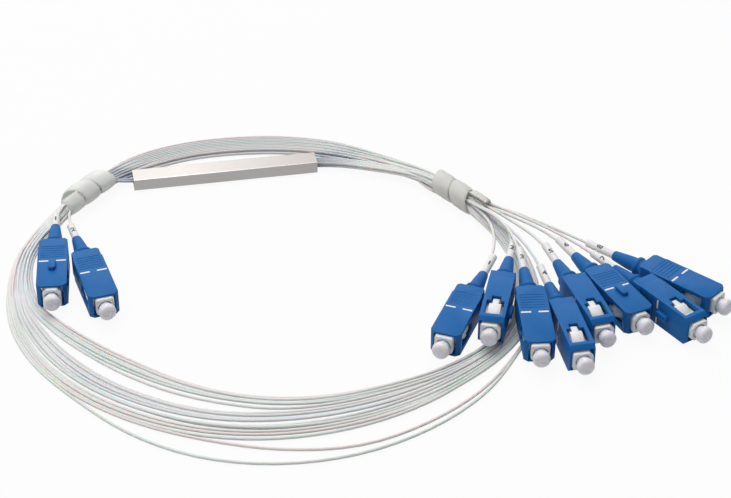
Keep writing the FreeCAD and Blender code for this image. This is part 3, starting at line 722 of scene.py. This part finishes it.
def make_grip_mesh():
    """The grip: a bevelled sleeve with a key, two stepped windows and finger grooves."""
    plan = mirrored_outline([(0.5, 3.3), (-0.7, 4.5), (-20.45, 4.5), (-20.7, 4.25), (-23.9, 4.25),
                             (-24.7, 3.45)])
    window = mirrored_outline([(-2.0, 2.6), (-8.5, 2.6), (-8.5, 1.35), (-10.8, 1.35)])
    cutters = [box_mesh((-23.2, -3.3, -3.1), (1.5, 3.3, 3.1)), extruded(window, -6, 6, axis="Y"),
               rod(2.95, -26, -22)]
    for row in range(GROOVE_ROWS):
        front = GROOVE_FRONT - GROOVE_PITCH * row
        for low, high in ((GROOVE_FLOOR, 4.2), (-4.2, -GROOVE_FLOOR)):
            cutters.append(box_mesh((front - GROOVE_WIDTH, -3.6, low), (front, 3.6, high)))
    sleeve = carved(extruded(plan, -GRIP_HALF_HEIGHT, GRIP_HALF_HEIGHT), 0.22, cutters)
    key = [(-7.5, 0.54), (-8.04, 1.075), (-12.0, 1.075), (-12.0, -1.075), (-8.04, -1.075),
           (-7.5, -0.54)]
    return joined("grip_shell", sleeve, carved(extruded(key, 3.5, 4.9), 0.25))


def make_frame_mesh():
    """The plug frame: a bar with its key-side corners cut, a stepped bore, two latches and tongues."""
    section = mirrored_outline([(2.95, 2.3), (2.55, 2.7), (-1.75, 2.7), (-2.95, 1.5)])
    bores = [rod(2.2, -6.5, 2.2), rod(1.3, -8.0, -6.0), rod(2.3, -13.0, -7.5)]
    parts = [carved(along_x(extruded(section, -21.0, 1.6)), 0.12, bores)]
    for side in (1, -1):
        latch = [(-3.9, side * 2.6), (-6.4, side * 3.9), (-7.9, side * 3.9), (-7.9, side * 2.6)]
        tongue = [(-7.6, side * 2.6), (-7.6, side * 3.88), (-10.2, side * 3.88), (-10.2, side * 2.6)]
        parts.append(carved(extruded(latch, -1.8, 1.8), 0.12))
        parts.append(carved(extruded(tongue, -0.95, 0.95), 0.12))
    return joined("plug_bar", *parts)


def make_mark_mesh():
    """The two white marks on each broad face, printed just proud of it, rounded at their ends."""
    middle_x, middle_y = (MARK_FRONT + MARK_BACK) / 2, (MARK_INNER + MARK_OUTER) / 2
    corners = [(MARK_FRONT, MARK_INNER), (MARK_FRONT, MARK_OUTER), (MARK_BACK, MARK_OUTER),
               (MARK_BACK, MARK_INNER)]
    ring = [(x + (-dx if x > middle_x else dx), y + (dy if y < middle_y else -dy))
            for x, y in corners for dx, dy in ((0.0, 0.12), (0.04, 0.04), (0.12, 0.0))]
    ring.sort(key=lambda spot: math.atan2(spot[1] - middle_y, (spot[0] - middle_x) * 5))
    work = bmesh.new()
    for face in (1, -1):
        for side in (1, -1):
            bottom, top = ([work.verts.new((x, side * y, face * (GRIP_HALF_HEIGHT + proud)))
                            for x, y in ring] for proud in (-0.01, 0.015))
            work.faces.new(top)
            for k in range(len(ring)):
                after = (k + 1) % len(ring)
                work.faces.new((bottom[k], bottom[after], top[after], top[k]))
    bmesh.ops.recalc_face_normals(work, faces=work.faces)
    return as_mesh(work, "grip_marks")


def make_number(name, text):
    """A port number printed round the label sleeve."""
    letters = bpy.data.curves.new("number", "FONT")
    letters.body, letters.align_x, letters.align_y = text, "CENTER", "CENTER"
    letters.size, letters.offset = LETTER_SIZE, LETTER_WEIGHT
    holder = in_scene("number", letters)
    work = bmesh.new()
    work.from_mesh(worked_out(holder))
    bpy.data.objects.remove(holder)
    bmesh.ops.triangulate(work, faces=work.faces)
    bmesh.ops.subdivide_edges(work, edges=work.edges, cuts=2, use_grid_fill=True)
    place = seat(name)
    forward = (place.to_3x3() @ Vector((1, 0, 0))).normalized()
    above = (READING_SIDE - forward * READING_SIDE.dot(forward)).normalized()
    side = forward.cross(above)
    centre = place @ Vector((-BOOT_TIP - PIGTAILS[name][2] / 2, 0, 0))
    for vert in work.verts:
        angle = vert.co.x / SLEEVE_RADIUS
        spot = centre + forward * -vert.co.y
        outward = above * math.cos(angle) - side * math.sin(angle)
        vert.co = spot + outward * (SLEEVE_RADIUS + INK_PROUD)
    bmesh.ops.recalc_face_normals(work, faces=work.faces)
    for face in work.faces:
        if face.normal.dot(face.calc_center_median() - centre) < 0:
            face.normal_flip()
    piece = dressed(f"number_{name}", as_mesh(work, f"number_{name}"), INK_BLACK)
    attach(piece, "base")
    return piece


# ------------------------------------------------------------------ the splitter

FINISH_OF_SLOT = {
    "steel": STEEL, "silicone": SEAL_BLACK, "chip_glass": CHIP_GLASS, "fibre": FIBRE_SKINS["in_1"],
    "wrap": WRAP_CLEAR, "grip_blue": GRIP_BLUE, "frame_white": FRAME_WHITE, "ceramic": CERAMIC,
    "cap_clear": CAP_CLEAR, "boot_blue": BOOT_BLUE, "sleeve_white": SLEEVE_WHITE,
}
for entry in frame["record"]["subparts"]:
    solid = frame["nodes"][entry["node"]]
    solid.data.materials.clear()
    solid.data.materials.append(FINISH_OF_SLOT[entry["material_slot"]])

# The pieces of the first connector, whose meshes all the others share.
FIRST = next(iter(CONNECTORS))
PATTERNS = {
    "grip_shell": dressed(f"grip_shell_{FIRST}", make_grip_mesh(), GRIP_BLUE, smooth_below=35),
    "plug_bar": dressed(f"plug_bar_{FIRST}", make_frame_mesh(), FRAME_WHITE, smooth_below=35),
    "grip_marks": dressed(f"grip_marks_{FIRST}", make_mark_mesh(), MARK_WHITE),
    "cap": turned(f"cap_{FIRST}", CAP_OUTLINE, CAP_CLEAR, 0.2),
    "boot": turned(f"boot_{FIRST}", BOOT_OUTLINE, BOOT_BLUE, 0.3),
    "ferrule_tip": turned(f"ferrule_tip_{FIRST}", FERRULE_OUTLINE, CERAMIC, 0.1),
}

for name in CONNECTORS:
    grip, plug, marks, cap, boot, tip = (
        pattern if name == FIRST else in_scene(f"{kind}_{name}", pattern.data)
        for kind, pattern in PATTERNS.items())
    sleeve_end = -BOOT_TIP - PIGTAILS[name][2]
    sleeve = turned(f"sleeve_{name}", [(-BOOT_TIP, 0.85), (-BOOT_TIP, SLEEVE_RADIUS),
                                       (sleeve_end, SLEEVE_RADIUS), (sleeve_end, 0.85),
                                       (-BOOT_TIP, 0.85)], SLEEVE_WHITE, 0.08)
    for piece, body, node, slot in (
            (grip, f"grip_{name}", f"grip_{name}", "grip_blue"),
            (marks, f"grip_{name}", None, "grip_blue"),
            (plug, "base", f"plug_frame_{name}", "frame_white"),
            (boot, "base", "boots", "boot_blue"),
            (sleeve, "base", "label_sleeves", "sleeve_white"),
            (tip, f"ferrule_{name}", f"ferrule_{name}", "ceramic"),
            (cap, f"cap_{name}", f"dust_cap_{name}", "cap_clear")):
        seat_piece(piece, name)
        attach(piece, body)
        if node:
            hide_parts(node)
    number = make_number(name, name.split("_")[1])
    route = output_route(int(name[-1])) if name.startswith("out") else input_route(int(name[-1]))
    fibre = make_fibre(name, route)
    print("fibre", name, round(spline_length(fibre), 4), len(route))

make_wrap("left_wrap", LEFT_WRAP, 2.5, 4.4, WRAP_CLEAR)
make_wrap("right_wrap", RIGHT_WRAP, 2.7, 3.6, WRAP_BEIGE)


# ------------------------------------------------------------------ studio

LAMP_AIM = Vector((0.03, -0.05, 0))
# The table's half width, and how far it lies below the part, in metres.
TABLE_REACH, TABLE_DROP = 4, 0.0003


def seen_white(tree, lit, white, share):
    """Mixes in plain white where the eye, a mirror or a clear piece looks."""
    rays = add(tree, "ShaderNodeLightPath").outputs
    either = maths(tree, "MAXIMUM", rays["Is Camera Ray"], rays["Is Glossy Ray"])
    every = maths(tree, "MAXIMUM", either, rays["Is Transmission Ray"])
    mix = add(tree, "ShaderNodeMixShader")
    feed(tree, (maths(tree, "MULTIPLY", every, share), mix.inputs[0]), (lit, mix.inputs[1]),
         (white, mix.inputs[2]))
    return mix.outputs[0]


def make_floor():
    """A wide white table that keeps a faint shadow."""
    mesh = bpy.data.meshes.new("table")
    corners = [(x * TABLE_REACH, y * TABLE_REACH, -TABLE_DROP)
               for x, y in ((-1, -1), (1, -1), (1, 1), (-1, 1))]
    mesh.from_pydata(corners, [], [(0, 1, 2, 3)])
    material, tree, shader = new_material("table_white")
    tree.nodes.remove(shader)
    matt = add(tree, "ShaderNodeBsdfDiffuse")
    glow = add(tree, "ShaderNodeEmission")
    feed(tree, ((0.70, 0.70, 0.70, 1), matt.inputs["Color"]),
         (seen_white(tree, matt.outputs[0], glow.outputs[0], 0.93),
          tree.nodes["Material Output"].inputs["Surface"]))
    mesh.materials.append(material)
    in_scene("table", mesh)


def make_world():
    """An even room, white where it is looked at."""
    world = bpy.data.worlds.new("studio")
    world.use_nodes = True
    bpy.context.scene.world = world
    tree = world.node_tree
    room = tree.nodes["Background"]
    white = add(tree, "ShaderNodeBackground")
    feed(tree, ((0.93, 0.96, 1.0, 1), room.inputs["Color"]), (0.27, room.inputs["Strength"]),
         ((1, 1, 1, 1), white.inputs["Color"]),
         (seen_white(tree, room.outputs[0], white.outputs[0], 1.0),
          tree.nodes["World Output"].inputs["Surface"]))


def soft_box(name, place, size, watts, tint=(1, 1, 1)):
    """A large soft lamp that looks at the coil."""
    lamp = bpy.data.lights.new(name, "AREA")
    lamp.shape, lamp.size, lamp.size_y = "RECTANGLE", size[0], size[1]
    lamp.energy, lamp.color = watts, tint
    holder = in_scene(name, lamp)
    holder.location = place
    holder.rotation_euler = (LAMP_AIM - Vector(place)).to_track_quat("-Z", "Y").to_euler()


def make_camera():
    """The view across the coil, from the connectors' side."""
    lens = bpy.data.cameras.new("view")
    lens.lens, lens.sensor_width, lens.sensor_fit = 99.3, 36.0, "HORIZONTAL"
    lens.clip_start, lens.clip_end = 0.02, 20.0
    camera = in_scene("view", lens)
    camera.location = Vector((-58.5, -557.5, 351.1)) * MM
    aim = Vector((37.2, -50.0, 0.0)) * MM
    camera.rotation_euler = (aim - camera.location).to_track_quat("-Z", "Y").to_euler()
    bpy.context.scene.camera = camera


make_floor()
make_world()
soft_box("over", (-0.1, 0.15, 0.9), (0.9, 0.7), 7.6, (1.0, 0.985, 0.97))
soft_box("behind", (0.1, 0.9, 0.55), (1.2, 0.5), 3.0, (1.0, 0.95, 0.92))
soft_box("front_left", (-0.7, -0.6, 0.5), (0.5, 0.5), 1.3)
make_camera()
bpy.context.scene.view_settings.view_transform = "Standard"

bpy.context.view_layer.update()
